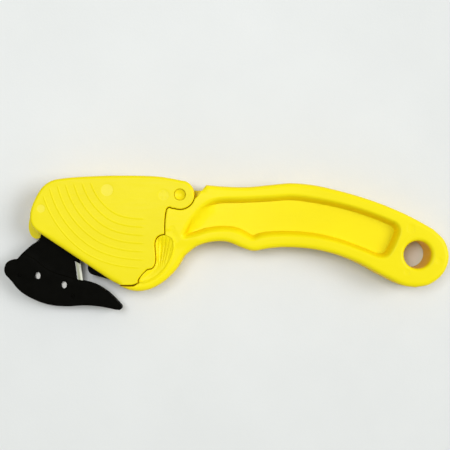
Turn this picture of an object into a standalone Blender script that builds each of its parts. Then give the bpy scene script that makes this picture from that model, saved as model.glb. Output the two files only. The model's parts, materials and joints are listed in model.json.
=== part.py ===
"""Hooked safety cutter: moulded S-curved grip, swinging head cover, replaceable blade cartridge.

The tool lies on its back on z = 0, with the grip along +X and the cover's hinge axis along Z.
The origin is on the back plane, below the centre of the tool's bounding box.
All lengths below are in millimetres and become metres when a mesh is made.
"""
import math

import bmesh
import bpy
import numpy as np
from mathutils import Vector
from mathutils.geometry import delaunay_2d_cdt

MM = 0.001

# Heights above the back plane
THICKNESS = 15.6
TRAY_TOP = 4.5
LUG_TOP = 7.0
COVER_CEILING = 10.2
BOSS_FOOT = 8.2
CARTRIDGE_FOOT = 4.8
SHELL_JOINT = 7.05
CARTRIDGE_TOP = 9.7

# Clearances and wall sizes
GAP = 0.3
SEAM = 0.4
SHELL_GAP = 0.3
GRIP_EDGE = 2.6
COVER_EDGE = 1.4
SHELL_EDGE = 0.6

# Hinge
PIVOT = (-20.1, 21.8)
BOSS_RADIUS = 6.5
LUG_RADIUS = 7.6
PIN_RADIUS = 2.5
PIN_SUNK = 0.7
PIN_NECK_RADIUS = 1.7
PIN_DISH_RADIUS = 1.9
PIN_DISH_DEPTH = 0.4
CAP_RADIUS = 4.6
CAP_SEAT_DEPTH = 2.2
WASHER_RADIUS = 5.6
WASHER_THICKNESS = 0.6

# Grip
RECESS_DEPTH = 4.2
RECESS_WALL = 3.6
RECESS_RAMP = (-19.0, -8.0)
SCALLOP_DEPTH = 1.3
SCALLOP_SLOPE = 4.5
HANGING_HOLE = (85.8, -5.0)
HANGING_HOLE_RADIUS = 6.1
HANGING_HOLE_EDGE = 1.3

# Blade cartridge
BLADE_THICKNESS = 0.6
BLADE_WIDTH = 21.4
BLADE_BEVEL = 1.3
BLADE_SPINE = (2.5, 13.5)
BLADE_FOOT = (-64.3, -20.4)
BLADE_HEAD = (-67.2, 0.4)
BLADE_PIN_RADIUS = 0.7
BLADE_PIN_PLACES = ((6.0, 12.5), (13.5, 12.5))
RIVET_RADIUS = 0.7
RIVET_PLACES = {"cartridge_rivet_lobe": (-92.9, -14.6), "cartridge_rivet_belly": (-68.8, -23.9),
                "cartridge_rivet_neck": (-78.5, 4.6), "cartridge_rivet_heel": (-50.0, -8.4)}
SLOT_END = (-65.3, -1.9)
SLOT_RADIUS = 3.2
CUT_WINDOW_HALVES = (1.35, 1.7)
CUT_WINDOWS = ((-84.9, -14.7), (-73.0, -18.9))
DOWEL_RADIUS = 1.5
DOWEL_PLACES = {"cartridge_dowel_front": (-79.6, 15.0), "cartridge_dowel_rear": (-53.3, 23.0)}
DOWEL_FOOT = 1.5

# Mesh fineness
STEP = 2.4
SIDES = 28

YELLOW = (0.93, 0.79, 0.015)
BLACK = (0.012, 0.012, 0.011)
STEEL = (0.62, 0.63, 0.60)


# ---------------------------------------------------------------- flat outlines

def curve(points, step=STEP):
    """Smooth centripetal curve through the points, from the first to the last."""
    knots = np.array(points, float)
    knots = np.vstack([2 * knots[0] - knots[1], knots, 2 * knots[-1] - knots[-2]])
    run = [knots[1]]
    for a, b, c, d in zip(knots, knots[1:], knots[2:], knots[3:]):
        spans = [math.sqrt(np.linalg.norm(q - p)) for p, q in ((a, b), (b, c), (c, d))]
        times = np.cumsum([0.0] + spans)
        count = max(1, round(np.linalg.norm(c - b) / step))
        for t in np.linspace(times[1], times[2], count + 1)[1:]:
            low = [blend(a, b, times[0], times[1], t), blend(b, c, times[1], times[2], t),
                   blend(c, d, times[2], times[3], t)]
            mid = [blend(low[0], low[1], times[0], times[2], t),
                   blend(low[1], low[2], times[1], times[3], t)]
            run.append(blend(mid[0], mid[1], times[1], times[2], t))
    return np.array(run)


def blend(a, b, start, end, t):
    """Point on the line from a (at time start) to b (at time end)."""
    return a + (b - a) * (t - start) / (end - start)


def arc(centre, radius, start, end, step=STEP):
    """Arc about a centre, between two angles in degrees."""
    count = max(3, math.ceil(abs(math.radians(end - start)) * radius / step))
    angles = np.radians(np.linspace(start, end, count + 1))
    return np.column_stack([centre[0] + radius * np.cos(angles), centre[1] + radius * np.sin(angles)])


def oval(centre, halves, sides=SIDES):
    """Closed outline about a centre, with a half width along X and another along Y."""
    angles = np.arange(sides) * 2 * math.pi / sides
    return np.column_stack([centre[0] + halves[0] * np.cos(angles), centre[1] + halves[1] * np.sin(angles)])


def circle(centre, radius, sides=SIDES):
    """Closed regular outline about a centre."""
    return oval(centre, (radius, radius), sides)


def path(*runs):
    """Runs joined end to end into one line, without doubled points."""
    points = np.vstack([np.array(run, float) for run in runs])
    keep = [0]
    for index in range(1, len(points)):
        if np.linalg.norm(points[index] - points[keep[-1]]) > 0.05:
            keep.append(index)
    return points[keep]


def loop(*runs):
    """Closed outline that turns counterclockwise."""
    points = path(*runs)
    if np.linalg.norm(points[0] - points[-1]) < 0.05:
        points = points[:-1]
    x, y = points.T
    area = np.sum(x * np.roll(y, -1) - np.roll(x, -1) * y)
    return points if area > 0 else points[::-1]


def side_shift(points, distance, closed):
    """Line moved to its left by a distance, along the mean normal at each point."""
    ahead = np.roll(points, -1, axis=0) - points
    if not closed:
        ahead[-1] = ahead[-2]
    ahead /= np.linalg.norm(ahead, axis=1)[:, None]
    behind = np.roll(ahead, 1, axis=0)
    if not closed:
        behind[0] = ahead[0]
    normals = np.column_stack([-(ahead + behind)[:, 1], (ahead + behind)[:, 0]])
    normals /= np.linalg.norm(normals, axis=1)[:, None]
    facing = np.sum(normals * np.column_stack([-ahead[:, 1], ahead[:, 0]]), axis=1)
    return points + normals * (distance / np.maximum(facing, 0.5))[:, None]


def distance_to(points, outline):
    """Distance from each point to a closed outline."""
    start = outline[None, :, :]
    along = (np.roll(outline, -1, axis=0) - outline)[None, :, :]
    offset = points[:, None, :] - start
    share = np.clip(np.sum(offset * along, axis=2) / np.sum(along * along, axis=2), 0, 1)
    return np.linalg.norm(offset - share[:, :, None] * along, axis=2).min(axis=1)


def inside(points, outline):
    """True for each point that a closed outline holds."""
    x0, y0 = outline.T
    x1, y1 = np.roll(outline, -1, axis=0).T
    px, py = points[:, :1], points[:, 1:]
    spans = (y0 > py) != (y1 > py)
    with np.errstate(divide="ignore", invalid="ignore"):
        crossing = px < x0 + (py - y0) * (x1 - x0) / (y1 - y0)
    return np.sum(spans & crossing, axis=1) % 2 == 1


def smoothstep(value):
    """Soft step from 0 to 1."""
    value = np.clip(value, 0, 1)
    return value * value * (3 - 2 * value)


# ---------------------------------------------------------------- solids

def material(name, colour, roughness, metallic=0.0):
    """Principled material."""
    made = bpy.data.materials.new(name)
    made.use_nodes = True
    shader = made.node_tree.nodes["Principled BSDF"]
    shader.inputs["Base Color"].default_value = (*colour, 1)
    shader.inputs["Roughness"].default_value = roughness
    shader.inputs["Metallic"].default_value = metallic
    made.diffuse_color = (*colour, 1)
    return made


def solid(name, verts, faces, look=None):
    """Object from millimetre coordinates, faces turned outwards."""
    mesh = bpy.data.meshes.new(name)
    mesh.from_pydata([(x * MM, y * MM, z * MM) for x, y, z in verts], [], faces)
    work = bmesh.new()
    work.from_mesh(mesh)
    bmesh.ops.recalc_face_normals(work, faces=work.faces)
    work.to_mesh(mesh)
    work.free()
    if look:
        mesh.materials.append(look)
    mesh.shade_smooth()
    mesh.set_sharp_from_angle(angle=math.radians(35))
    made = bpy.data.objects.new(name, mesh)
    bpy.context.scene.collection.objects.link(made)
    return made


def prism(name, outline, low, high, look=None):
    """Straight extrusion of an outline between two heights."""
    count = len(outline)
    verts = [(x, y, z) for z in (low, high) for x, y in outline]
    walls = [(i, (i + 1) % count, count + (i + 1) % count, count + i) for i in range(count)]
    return solid(name, verts, [tuple(range(count))[::-1], tuple(range(count, 2 * count))] + walls, look)


def turned(name, centre, profile, look=None):
    """Solid turned about the vertical line through a centre, from (radius, height) pairs.

    A pair with radius 0 is one point on the axis. A profile without one closes on itself.
    """
    verts, rings = [], []
    for radius, height in profile:
        ring = [(centre[0], centre[1])] if radius == 0 else circle(centre, radius)
        rings.append(range(len(verts), len(verts) + len(ring)))
        verts += [(x, y, height) for x, y in ring]
    pairs = list(zip(rings, rings[1:]))
    if profile[0][0] and profile[-1][0]:
        pairs.append((rings[-1], rings[0]))
    faces = []
    for low, high in pairs:
        for i in range(SIDES):
            j = (i + 1) % SIDES
            corners = [low[i % len(low)], low[j % len(low)], high[j % len(high)], high[i % len(high)]]
            faces.append(tuple(dict.fromkeys(corners)))
    return solid(name, verts, faces, look)


def edge_drop(distance, radius):
    """Height that a rounded edge loses at a distance from its wall."""
    reach = np.clip(radius - distance, 0, radius)
    return radius - np.sqrt(radius * radius - reach * reach)


def triangulate(points, edges, holes):
    """Flat triangles over the points, inside the edges and outside the holes."""
    flat = delaunay_2d_cdt([Vector(p) for p in points], edges, [], 1, 1e-4)
    spots = np.array([tuple(v) for v in flat[0]])
    faces = np.array(flat[2])
    keep = np.full(len(faces), True)
    for hole in holes:
        keep &= ~inside(spots[faces].mean(axis=1), hole)
    return spots, [tuple(int(i) for i in face) for face in faces[keep]]


def relief(name, outlines, low, high, top_edges, foot_edges, look, guides=(), top_hollow=None,
           foot_hollow=None):
    """Plate with rounded edges over a flat triangulation.

    Each outline has a rounding radius for its top and its foot edge, in top_edges and foot_edges.
    The hollows give the depth sunk into the two faces, and the guides are closed lines along them.
    """
    points, edges = [], []
    for outline in [*outlines, *guides]:
        first = sum(len(run) for run in points)
        edges += [(first + i, first + (i + 1) % len(outline)) for i in range(len(outline))]
        points.append(outline)
    for outline, top, foot in zip(outlines, top_edges, foot_edges):
        radius = max(top, foot)
        for turn in (45, 90):
            inset = radius * (1 - math.cos(math.radians(turn)))
            ring = side_shift(outline, inset, True)
            clear = np.min([distance_to(ring, other) for other in outlines], axis=0) > inset - 0.05
            points.append(ring[clear & (radius > 0)])
    spots, triangles = triangulate(np.vstack(points), edges, outlines[1:])
    apart = [distance_to(spots, outline) for outline in outlines]
    tops = high - np.max([edge_drop(d, r) for d, r in zip(apart, top_edges)], axis=0)
    feet = low + np.max([edge_drop(d, r) for d, r in zip(apart, foot_edges)], axis=0)
    if top_hollow:
        tops -= top_hollow(spots)
    if foot_hollow:
        feet += foot_hollow(spots)
    count = len(spots)
    verts = [(x, y, z) for heights in (feet, tops) for (x, y), z in zip(spots, heights)]
    faces = [face[::-1] for face in triangles] + [tuple(count + i for i in face) for face in triangles]
    sides = {(a, b) for face in triangles for a, b in zip(face, face[1:] + face[:1])}
    faces += [(a, b, count + b, count + a) for a, b in sides if (b, a) not in sides]
    return solid(name, verts, faces, look)


def cut(target, *cutters):
    """Subtract each cutter from the target, exactly."""
    for cutter in cutters:
        boolean = target.modifiers.new(cutter.name, "BOOLEAN")
        boolean.operation = "DIFFERENCE"
        boolean.solver = "EXACT"
        boolean.object = cutter
        cutter.hide_render = True
        cutter.display_type = "WIRE"


# ---------------------------------------------------------------- outlines of this tool

def cover_seam():
    """Line between cover and handle, from the hinge boss down to the end of the heel lip."""
    return path(
        arc(PIVOT, BOSS_RADIUS, 0, -112, 1.2),
        curve([(-23.6, 15.8), (-24.8, 16.3), (-25.9, 15.7), (-26.4, 14.2), (-26.8, 11.5), (-27.0, 8.0),
               (-27.0, 4.2)], 1.2),
        curve([(-27.0, 4.2), (-28.8, 3.8), (-30.4, 2.7), (-31.3, 0.6), (-31.3, -2.6), (-31.0, -6.2),
               (-31.4, -9.3), (-32.6, -11.0), (-34.6, -11.5), (-36.2, -12.9), (-38.0, -15.0),
               (-38.8, -16.3)], 1.2),
        curve([(-38.8, -17.4), (-40.8, -18.3), (-44.0, -18.5), (-47.6, -18.3)], 1.2),
    )


def cover_outline():
    """Outer edge of the head cover."""
    return loop(
        cover_seam(),
        [(-50.4, -16.9), (-80.6, 3.1)],
        curve([(-80.6, 3.1), (-84.6, 6.1), (-86.6, 9.0), (-87.0, 12.6), (-86.0, 17.0), (-83.8, 21.6),
               (-81.4, 25.2), (-77.6, 27.9), (-72.0, 29.1), (-57.0, 30.1), (-43.0, 30.3), (-30.0, 29.9),
               (-23.8, 29.0), (-19.4, 28.1)]),
        arc(PIVOT, BOSS_RADIUS, 70, 0, 1.2),
    )


def body_outline():
    """Outer edge of the handle with its head tray."""
    grip_top = curve([(-8.3, 26.2), (-0.4, 25.5), (10.3, 25.3), (20.0, 26.2), (29.5, 27.0), (39.8, 26.1),
                      (50.6, 23.7), (61.3, 20.7), (72.0, 16.9), (82.8, 12.1), (93.0, 6.5)])
    grip_end = curve([(93.0, 6.5), (98.2, 1.0), (100.0, -6.2), (97.6, -13.2), (91.5, -18.3), (85.0, -19.7)])
    grip_foot = curve([(85.0, -19.7), (79.5, -18.9), (70.0, -14.4), (58.6, -8.4), (47.9, -4.5),
                       (37.2, -2.4), (26.4, -1.8), (19.0, -2.4), (12.5, -3.4), (7.4, -1.9), (1.0, 0.6),
                       (-6.0, 0.6), (-12.8, -1.5), (-18.0, -5.6)])
    heel = curve([(-18.0, -5.6), (-22.2, -12.2), (-28.4, -17.9), (-34.6, -20.9), (-41.0, -21.3),
                  (-47.8, -18.9)])
    tray_foot = path([(-48.6, -15.9), (-61.7, -7.3)], arc(SLOT_END, SLOT_RADIUS + 0.6, 0, 180, 1.6),
                     [(-69.1, -2.4), (-79.6, 4.6)])
    tab = curve([(-79.6, 4.6), (-83.0, 3.9), (-85.0, 2.3), (-86.8, 1.8), (-88.7, 2.8), (-90.0, 5.2),
                 (-90.3, 8.4), (-89.2, 13.2), (-86.2, 18.0)], 1.2)
    tray_top = curve([(-86.2, 18.0), (-84.0, 21.8), (-81.2, 25.2), (-77.4, 27.6), (-72.0, 28.7),
                      (-57.0, 29.7), (-43.0, 29.9), (-30.0, 29.5), (-23.8, 28.6), (-19.4, 27.6),
                      (-16.4, 25.9), (-14.6, 24.0)])
    return loop(grip_top, grip_end, grip_foot, heel, tray_foot, tab, tray_top, [(-10.5, 24.0)])


def recess_outline():
    """Middle of the sloping wall around the long recess in each face of the grip."""
    return loop(curve([(-17.6, 4.0), (-13.6, 13.4), (-9.4, 16.6), (-3.0, 18.3), (8.0, 18.7), (20.0, 19.3),
                       (29.5, 19.9), (38.0, 19.0), (51.3, 16.4), (62.0, 13.3), (72.0, 9.5), (75.6, 7.7),
                       (76.4, 5.8), (75.2, 2.0), (73.0, -2.5), (71.4, -4.5), (69.2, -4.8), (62.0, -2.1),
                       (51.3, 1.7), (40.0, 4.2), (29.0, 5.1), (20.1, 4.9), (15.6, 4.2), (12.6, 3.2),
                       (10.0, 4.5), (5.6, 6.6), (-0.5, 7.4), (-8.0, 6.6), (-14.2, 4.7), (-17.6, 4.0)], 4.0))


def scallop_outline():
    """Edge of the thumb scallop: a crescent on the handle, run out past the seam on its left."""
    return loop(curve([(-36.4, -17.2), (-32.4, -15.9), (-28.4, -13.0), (-25.4, -9.0), (-23.4, -4.6),
                       (-22.8, -0.4), (-23.6, 2.4), (-26.4, 3.9), (-31.0, 4.4), (-33.4, 0.0), (-33.6, -9.0),
                       (-37.0, -13.8), (-39.0, -16.4), (-36.4, -17.2)], 2.6))


def cartridge_outline():
    """Outer edge of the blade cartridge: head plate, lobe, beak and the throat between them."""
    head = curve([(-82.9, 12.5), (-83.4, 7.0), (-84.0, 2.2), (-88.0, -1.0), (-91.6, -4.2), (-94.1, -7.1)])
    lobe = curve([(-94.1, -7.1), (-96.8, -7.5), (-99.0, -8.9), (-100.0, -11.4), (-99.6, -14.0),
                  (-98.0, -15.8), (-96.9, -17.0)], 1.2)
    belly = curve([(-96.9, -17.0), (-93.2, -21.4), (-88.0, -24.8), (-80.0, -27.8), (-72.0, -28.6),
                   (-63.0, -28.2), (-56.0, -28.8), (-48.8, -30.3)])
    tip = arc((-48.1, -29.0), 1.3, 245, 395, 0.9)
    beak = curve([(-47.0, -28.2), (-50.7, -24.3), (-54.6, -21.1), (-59.0, -18.6), (-63.0, -17.3),
                  (-66.4, -16.5)])
    slot = path([(-66.4, -16.5)], arc(SLOT_END, SLOT_RADIUS, 180, 0, 1.6), [(-62.2, -5.0), (-62.1, -9.6)])
    guide = curve([(-62.1, -9.6), (-62.1, -12.2), (-61.2, -13.7), (-59.0, -14.6), (-54.0, -16.0),
                   (-48.4, -18.0)], 1.6)
    heel = curve([(-48.4, -18.0), (-46.0, -17.4), (-44.6, -15.4), (-44.2, -11.0)], 1.6)
    top = curve([(-44.2, 21.0), (-45.2, 24.4), (-48.6, 25.8), (-60.0, 26.2), (-71.0, 25.8), (-76.4, 24.0),
                 (-80.4, 19.0), (-82.9, 12.5)])
    return loop(head, lobe, belly, tip, beak, slot, guide, heel, top)


# ---------------------------------------------------------------- pieces

def recess_depth(points):
    """Depth of the grip recess: full on its floor, running out to nothing towards the head."""
    outline = recess_outline()
    signed = np.where(inside(points, outline), 1, -1) * distance_to(points, outline)
    ramp = smoothstep((points[:, 0] - RECESS_RAMP[0]) / (RECESS_RAMP[1] - RECESS_RAMP[0]))
    return RECESS_DEPTH * smoothstep(signed / RECESS_WALL + 0.5) * ramp


def face_depth(points):
    """Depth of everything sunk into the front face: the grip recess and the thumb scallop."""
    outline = scallop_outline()
    reach = np.where(inside(points, outline), distance_to(points, outline), 0)
    return recess_depth(points) + SCALLOP_DEPTH * smoothstep(reach / SCALLOP_SLOPE)


def handle_body(look):
    """Grip, head tray and hinge lug in one moulding."""
    recess = recess_outline()
    guides = [side_shift(recess, share * RECESS_WALL, True) for share in (-0.8, -0.5, 0.0, 0.5, 0.8)]
    guides += [scallop_outline(), side_shift(scallop_outline(), SCALLOP_SLOPE / 2, True)]
    hole = circle(HANGING_HOLE, HANGING_HOLE_RADIUS)[::-1]
    edges = (GRIP_EDGE, HANGING_HOLE_EDGE)
    body = relief("handle_body", [body_outline(), hole], 0, THICKNESS, edges, edges, look, guides,
                  face_depth, recess_depth)
    seam = side_shift(cover_seam(), SEAM, False)
    foot = [(-110, seam[-1][1])]
    outside = [(-110, 50), (-3.9, 50), (-3.9, 31.6)]
    above_lug = loop(seam, foot, outside, [(-13.2, 20.1)])
    lug_side = arc(PIVOT, LUG_RADIUS, 228, 85, 1.6)
    start = np.argmin(np.linalg.norm(seam - lug_side[0], axis=1)) + 1
    tray = loop(seam[start:], foot, [(-110, 50), (-19.4, 50)], lug_side[::-1])
    cut(body,
        prism("cutter_head_space", above_lug, LUG_TOP, THICKNESS + 5),
        prism("cutter_cartridge_tray", tray, TRAY_TOP, LUG_TOP + 1),
        prism("cutter_pin_hole", circle(PIVOT, PIN_RADIUS + GAP), -1, LUG_TOP + 1),
        prism("cutter_cap_seat", circle(PIVOT, CAP_RADIUS + GAP), -1, CAP_SEAT_DEPTH))
    for name, place in DOWEL_PLACES.items():
        cut(body, prism("cutter_" + name + "_seat", circle(place, DOWEL_RADIUS + GAP, 16),
                        DOWEL_FOOT - GAP, TRAY_TOP + 1))
    return body


def head_cover(look):
    """Cover plate with a hinge boss, and a skirt along its top and nose only."""
    outline = cover_outline()
    cover = relief("head_cover", [outline], TRAY_TOP + GAP, THICKNESS, (COVER_EDGE,), (0,), look)
    skirt_inside = curve([(-89.0, 7.6), (-84.4, 11.6), (-83.6, 16.0), (-81.6, 20.4), (-79.2, 23.8),
                          (-76.6, 25.6), (-71.6, 26.7), (-57.0, 27.7), (-43.0, 27.9), (-30.6, 27.6)])
    under = loop(skirt_inside, [(-30.6, 40)], [(-24.0, 40)], arc(PIVOT, BOSS_RADIUS, 120, 235, 1.6),
                 [(-22.4, 6), (-22.4, -30), (-89.0, -30)])
    boss_side = loop([(-29.0, 8.0), (-6.0, 8.0), (-6.0, 40.0), (-29.0, 40.0)])
    cut(cover,
        prism("cutter_cover_inside", under, 0, COVER_CEILING),
        prism("cutter_boss_foot", boss_side, 0, BOSS_FOOT),
        prism("cutter_cover_pin_hole", circle(PIVOT, PIN_RADIUS + GAP), 0, THICKNESS + 5))
    return cover


def hinge_pieces(plastic, steel):
    """Headed pin, push-on cap in the back and friction washer under the cover's boss."""
    top = THICKNESS - PIN_SUNK
    neck_top = CAP_SEAT_DEPTH + GAP
    turned("hinge_pin", PIVOT, [(0, 0.6), (PIN_NECK_RADIUS, 0.6), (PIN_NECK_RADIUS, neck_top),
                                (PIN_RADIUS, neck_top), (PIN_RADIUS, top - 0.3), (PIN_RADIUS - 0.3, top),
                                (PIN_DISH_RADIUS, top), (PIN_DISH_RADIUS - 0.5, top - PIN_DISH_DEPTH),
                                (0, top - PIN_DISH_DEPTH)], plastic)
    bore = PIN_NECK_RADIUS + GAP
    turned("hinge_pin_cap", PIVOT, [(bore, 0.3), (CAP_RADIUS - 0.4, 0.3), (CAP_RADIUS, 0.7),
                                    (CAP_RADIUS, CAP_SEAT_DEPTH - GAP), (bore, CAP_SEAT_DEPTH - GAP)],
           plastic)
    washer_foot = LUG_TOP + GAP
    washer_bore = PIN_RADIUS + GAP
    turned("hinge_friction_washer", PIVOT, [(washer_bore, washer_foot), (WASHER_RADIUS, washer_foot),
                                            (WASHER_RADIUS, washer_foot + WASHER_THICKNESS),
                                            (washer_bore, washer_foot + WASHER_THICKNESS)], steel)


def blade_places(places):
    """Points of the blade's plane, from distances along its cutting edge and across towards its spine."""
    foot = np.array(BLADE_FOOT)
    along = (np.array(BLADE_HEAD) - foot) / blade_length()
    across = np.array([-along[1], along[0]])
    return [foot + along * run + across * side for run, side in places]


def blade_length():
    """Length of the cutting edge."""
    return math.dist(BLADE_FOOT, BLADE_HEAD)


def blade(look):
    """Flat steel blade, narrower towards its spine, with a double bevel along its cutting edge."""
    half, thin = BLADE_THICKNESS / 2, 0.06
    lean = [BLADE_SPINE[0] / BLADE_WIDTH, (BLADE_SPINE[1] - blade_length()) / BLADE_WIDTH]
    section = [(0, -thin), (0, thin), (BLADE_BEVEL, half), (BLADE_WIDTH, half), (BLADE_WIDTH, -half),
               (BLADE_BEVEL, -half)]
    verts = []
    for run, slope in zip((0, blade_length()), lean):
        ends = blade_places([(run + slope * side, side) for side, _ in section])
        verts += [(*end, SHELL_JOINT + height) for end, (_, height) in zip(ends, section)]
    count = len(section)
    walls = [(i, (i + 1) % count, count + (i + 1) % count, count + i) for i in range(count)]
    made = solid("blade", verts, [tuple(range(count)), tuple(range(count, 2 * count))] + walls, look)
    for index, place in enumerate(blade_places(BLADE_PIN_PLACES)):
        cut(made, prism(f"cutter_blade_hole_{index}", circle(place, BLADE_PIN_RADIUS + GAP, 12),
                        SHELL_JOINT - 2, SHELL_JOINT + 2))
    return made


def cartridge(plastic, steel):
    """Two black shells with the blade clamped between them on pins."""
    slack, open_side = 0.4, -3.0
    pocket = loop(blade_places([(BLADE_SPINE[0] - slack, BLADE_WIDTH + slack), (-slack, 0),
                                (-slack, open_side), (blade_length() + slack, open_side),
                                (blade_length() + slack, 0), (BLADE_SPINE[1] + slack, BLADE_WIDTH + slack)]))
    pocket_half = BLADE_THICKNESS / 2 + GAP
    pin_reach = 1.3
    windows = [oval(place, CUT_WINDOW_HALVES, 16)[::-1] for place in CUT_WINDOWS]
    dowels = [circle(place, DOWEL_RADIUS + GAP, 16)[::-1] for place in DOWEL_PLACES.values()]
    rivets = [circle(place, RIVET_RADIUS + GAP, 12)[::-1] for place in RIVET_PLACES.values()]
    outlines = [cartridge_outline()] + windows + dowels + rivets
    rounded = (SHELL_EDGE,) + (0,) * (len(outlines) - 1)
    square = (0,) * len(outlines)
    joint = (SHELL_JOINT - SHELL_GAP / 2, SHELL_JOINT + SHELL_GAP / 2)
    for name, low, high, top_edges, foot_edges in (
            ("cartridge_back_shell", CARTRIDGE_FOOT, joint[0], square, rounded),
            ("cartridge_front_shell", joint[1], CARTRIDGE_TOP, rounded, square)):
        shell = relief(name, outlines, low, high, top_edges, foot_edges, plastic)
        cut(shell, prism(name.replace("shell", "blade_pocket"), pocket, SHELL_JOINT - pocket_half,
                         SHELL_JOINT + pocket_half))
        for index, place in enumerate(blade_places(BLADE_PIN_PLACES)):
            cut(shell, prism(f"cutter_{name}_blade_pin_{index}", circle(place, BLADE_PIN_RADIUS + GAP, 12),
                             SHELL_JOINT - pin_reach - GAP, SHELL_JOINT + pin_reach + GAP))
    blade(steel)
    for name, place in zip(("blade_pin_lower", "blade_pin_upper"), blade_places(BLADE_PIN_PLACES)):
        post(name, place, BLADE_PIN_RADIUS, SHELL_JOINT - pin_reach, SHELL_JOINT + pin_reach, steel, 0.15)
    for name, place in RIVET_PLACES.items():
        post(name, place, RIVET_RADIUS, CARTRIDGE_FOOT + GAP, CARTRIDGE_TOP - 0.2, plastic, 0.15)


def post(name, place, radius, low, high, look, chamfer):
    """Round pin with a small chamfer at each end."""
    turned(name, place, [(0, low), (radius - chamfer, low), (radius, low + chamfer),
                         (radius, high - chamfer), (radius - chamfer, high), (0, high)], look)


def build():
    """Clear the scene and model every piece."""
    for old in list(bpy.data.objects):
        bpy.data.objects.remove(old, do_unlink=True)
    handle_body(material("handle_yellow", YELLOW, 0.38))
    head_cover(material("cover_yellow", YELLOW, 0.38))
    hinge_pieces(material("hinge_yellow", YELLOW, 0.42), material("washer_steel", STEEL, 0.35, 1.0))
    cartridge(material("cartridge_black", BLACK, 0.5), material("blade_steel", STEEL, 0.25, 1.0))
    dowel_look = material("dowel_steel", STEEL, 0.3, 1.0)
    for name, place in DOWEL_PLACES.items():
        post(name, place, DOWEL_RADIUS, DOWEL_FOOT, CARTRIDGE_TOP + 0.2, dowel_look, 0.3)


build()
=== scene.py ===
"""Finished look of the hooked safety cutter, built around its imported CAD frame.

The tool lies on its back on the floor, with the grip along +X and the cover's hinge axis along Z.
Outlines and sizes are in millimetres in the frame's own axes, and become metres when a mesh is made.
"""
import json
import math

import bmesh
import bpy
import numpy as np
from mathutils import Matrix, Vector
from mathutils.geometry import delaunay_2d_cdt


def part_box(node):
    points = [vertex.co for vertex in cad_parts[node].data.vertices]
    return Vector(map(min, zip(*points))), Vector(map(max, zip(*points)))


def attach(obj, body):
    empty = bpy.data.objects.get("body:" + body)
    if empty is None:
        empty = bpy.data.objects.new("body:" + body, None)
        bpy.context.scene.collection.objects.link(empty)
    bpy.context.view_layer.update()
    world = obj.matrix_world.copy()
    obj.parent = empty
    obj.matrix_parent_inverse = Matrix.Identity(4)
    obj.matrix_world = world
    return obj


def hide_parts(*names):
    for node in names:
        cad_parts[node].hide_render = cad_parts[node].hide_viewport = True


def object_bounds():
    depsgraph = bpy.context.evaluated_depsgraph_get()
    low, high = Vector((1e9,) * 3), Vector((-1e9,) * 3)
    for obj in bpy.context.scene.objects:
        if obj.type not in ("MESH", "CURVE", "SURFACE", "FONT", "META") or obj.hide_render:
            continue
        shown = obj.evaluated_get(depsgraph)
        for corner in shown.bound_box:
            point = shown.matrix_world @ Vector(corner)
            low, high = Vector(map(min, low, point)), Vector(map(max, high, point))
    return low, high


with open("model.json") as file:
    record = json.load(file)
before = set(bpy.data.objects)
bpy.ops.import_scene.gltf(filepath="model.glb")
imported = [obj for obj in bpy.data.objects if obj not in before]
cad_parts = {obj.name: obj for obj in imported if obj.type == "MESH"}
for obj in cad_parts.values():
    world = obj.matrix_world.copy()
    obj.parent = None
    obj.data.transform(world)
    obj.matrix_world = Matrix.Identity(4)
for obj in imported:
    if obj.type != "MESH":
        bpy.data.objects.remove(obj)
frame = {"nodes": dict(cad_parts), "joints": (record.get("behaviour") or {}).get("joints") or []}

MM = 0.001
CAD_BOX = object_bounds()


def level(node, end):
    """Height in millimetres of a CAD node's foot (end 0) or top (end 1)."""
    return round(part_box(node)[end].z / MM, 3)


# Heights and places that the frame gives, and the gap between parts
THICKNESS = level("handle_body", 1)
SKIRT_FOOT = level("head_cover", 0)
CARTRIDGE_FOOT = level("cartridge_back_shell", 0)
BACK_SHELL_TOP = level("cartridge_back_shell", 1)
FRONT_SHELL_FOOT = level("cartridge_front_shell", 0)
CARTRIDGE_TOP = level("cartridge_front_shell", 1)
PIN_TOP = level("hinge_pin", 1)
PIN_FOOT = level("hinge_pin", 0)
CAP_FOOT, CAP_TOP = level("hinge_pin_cap", 0), level("hinge_pin_cap", 1)
GAP = 0.3
LUG_TOP = round(level("hinge_friction_washer", 0) - GAP, 3)
PIVOT = tuple(x / MM for x in frame["joints"][0]["pos_m"][:2])

# Heights inside the head
TRAY_TOP = 4.5
COVER_CEILING = 10.2
COVER_TOP = THICKNESS - 0.14
BOSS_FOOT = 8.2
SHELL_JOINT = (BACK_SHELL_TOP + FRONT_SHELL_FOOT) / 2

# Seam and edge roundings
SEAM = 0.34
SEAM_CLOSER = 0.12
SEAM_CLOSER_TOP = (3.0, 0.0)
SEAM_CLOSER_FOOT = (-17.0, -14.0)
HEEL_GAP = 0.32
HEEL_GAP_SPAN = (-38.6, -41.0)
GRIP_EDGE = 2.2
SEAM_EDGE = 0.6
COVER_EDGE = 1.4
COVER_FOOT_EDGE = 2.3
COVER_FOOT_FADE = (8.0, 2.0)
BORE_EDGE = 0.35
SHELL_EDGE = 0.6
WINDOW_EDGE = 0.25
RIVET_EDGE = 0.12
PARTING_RIDGE = 0.07
PARTING_HALF_WIDTH = 0.16

# Hinge
BOSS_RADIUS = 6.5
LUG_RADIUS = 7.6
PIN_RADIUS = 2.42
PIN_CLEARANCE = 0.12
PIN_NECK_RADIUS = 1.7
PIN_DISH_RADIUS = 2.25
PIN_DISH_DEPTH = 0.8
PIN_EDGE = 0.15
CAP_RADIUS = 4.6
CAP_EDGE = 0.4
CAP_SEAT_DEPTH = 2.2

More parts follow.
